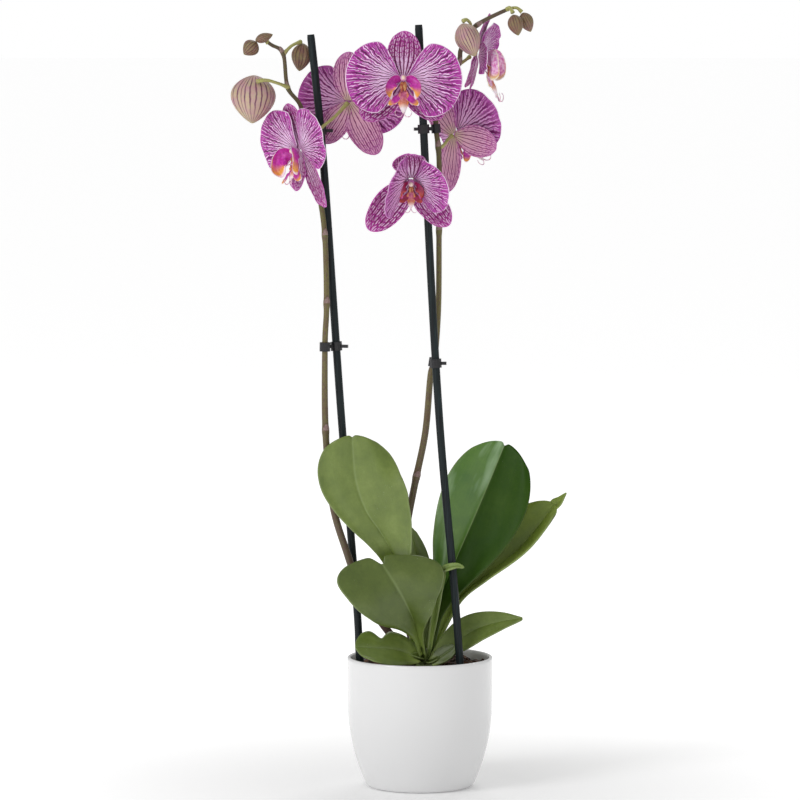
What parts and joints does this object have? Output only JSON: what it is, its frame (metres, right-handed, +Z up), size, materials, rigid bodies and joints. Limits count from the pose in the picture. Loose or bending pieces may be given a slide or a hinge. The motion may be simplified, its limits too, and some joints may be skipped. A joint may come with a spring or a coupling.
{
  "type": "potted orchid",
  "caption": "Moth orchid with two branching flower spikes clipped to stakes, broad leaves and a bark-filled grow pot, standing in a round glazed ceramic cover pot.",
  "frame": {"origin": "centre of the pot's flat underside, which rests on the ground", "axes": "+Z up along the pot's axis and the spikes; -Y towards the front, where the large open flower faces; +X to the right seen from the front"},
  "size_m": [0.2934, 0.1445, 0.7043],
  "materials": {
    "white_glaze": "smooth semi-gloss white glaze",
    "grow_pot_plastic": "thin dark grow pot, satin",
    "bark": "coarse dark bark chips, matt",
    "crown": "pale green fleshy leaf bases, satin",
    "leaf": "thick waxy green leaf, semi-gloss, paler under side",
    "flower_stem": "olive green stem speckled purple-brown, satin",
    "stake": "near-black coated rod with a faint lengthwise sheen",
    "clip": "black moulded clip, satin",
    "bud": "cream bud with purple veins, matt",
    "sepal": "pale lilac with a magenta vein net, matt; paler and greener behind",
    "petal": "pale lilac with a fine magenta vein net and a white margin, matt",
    "lip": "deep magenta lip with orange and white edges, matt",
    "column": "pale pink column with a cream cap, matt"
  },
  "bodies": {
    "root": {"pot": "white_glaze", "nursery_pot": "grow_pot_plastic", "bark_mix": "bark", "crown": "crown", "leaf_back_left": "leaf", "leaf_back_right": "leaf", "leaf_far_right": "leaf", "leaf_front_left": "leaf", "leaf_low_left": "leaf", "leaf_low_right": "leaf", "leaf_under_right": "leaf", "leaf_middle": "leaf", "leaf_young": "leaf", "spike_left": "flower_stem", "spike_right": "flower_stem", "stake_left": "stake", "stake_right": "stake", "clip_left_low": "clip", "clip_left_high": "clip", "clip_right_low": "clip", "clip_right_high": "clip", "bud_left_large": "bud", "bud_left_upper": "bud", "bud_left_tip_a": "bud", "bud_left_tip_b": "bud", "bud_right_upper": "bud", "bud_right_tip_a": "bud", "bud_right_tip_b": "bud", "flower_left_sepals": "sepal", "flower_left_petal_left": "petal", "flower_left_petal_right": "petal", "flower_left_lip": "lip", "flower_left_column": "column", "flower_left_back_sepals": "sepal", "flower_left_back_petal_left": "petal", "flower_left_back_petal_right": "petal", "flower_left_back_lip": "lip", "flower_left_back_column": "column", "flower_front_sepals": "sepal", "flower_front_petal_left": "petal", "flower_front_petal_right": "petal", "flower_front_lip": "lip", "flower_front_column": "column", "flower_low_sepals": "sepal", "flower_low_petal_left": "petal", "flower_low_petal_right": "petal", "flower_low_lip": "lip", "flower_low_column": "column", "flower_right_back_sepals": "sepal", "flower_right_back_petal_left": "petal", "flower_right_back_petal_right": "petal", "flower_right_back_lip": "lip", "flower_right_back_column": "column", "flower_right_top_sepals": "sepal", "flower_right_top_petal_left": "petal", "flower_right_top_petal_right": "petal", "flower_right_top_lip": "lip", "flower_right_top_column": "column"}
  },
  "joints": []
}
